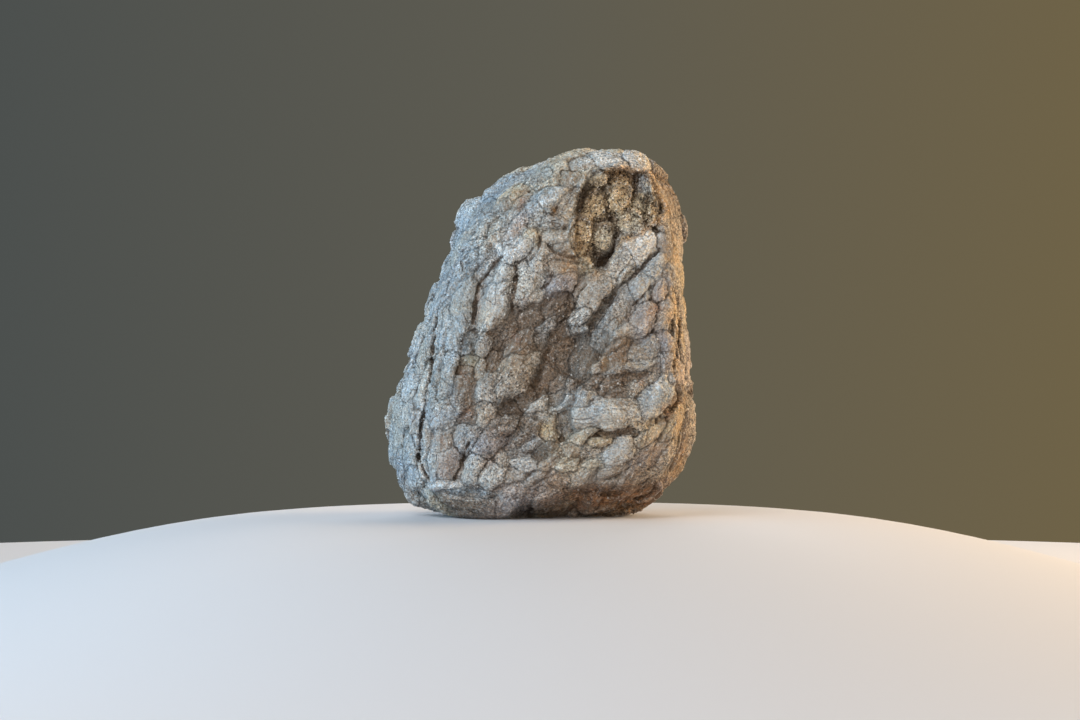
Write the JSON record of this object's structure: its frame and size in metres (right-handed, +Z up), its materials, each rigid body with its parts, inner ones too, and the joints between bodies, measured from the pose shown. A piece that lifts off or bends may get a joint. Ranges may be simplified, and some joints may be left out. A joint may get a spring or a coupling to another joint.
{
  "type": "fossil coral",
  "caption": "Weathered lump of fossil coral limestone with elongated lumps, cracks and a hollow of open corallite ends, standing on a flat worn patch.",
  "frame": {"origin": "centre of the bounding box at the base, on the surface that the stone stands on", "axes": "+Z up through the crown; the front face with the hollow looks towards -Y and the steep shaded side is at -X"},
  "size_m": [0.0692, 0.0504, 0.0815],
  "materials": {
    "coral_limestone": "dry weathered grey limestone with a sugary grain, brown iron-stained hollows and ochre and rust patches"
  },
  "bodies": {
    "root": {"fossil_coral": "coral_limestone"}
  },
  "joints": []
}
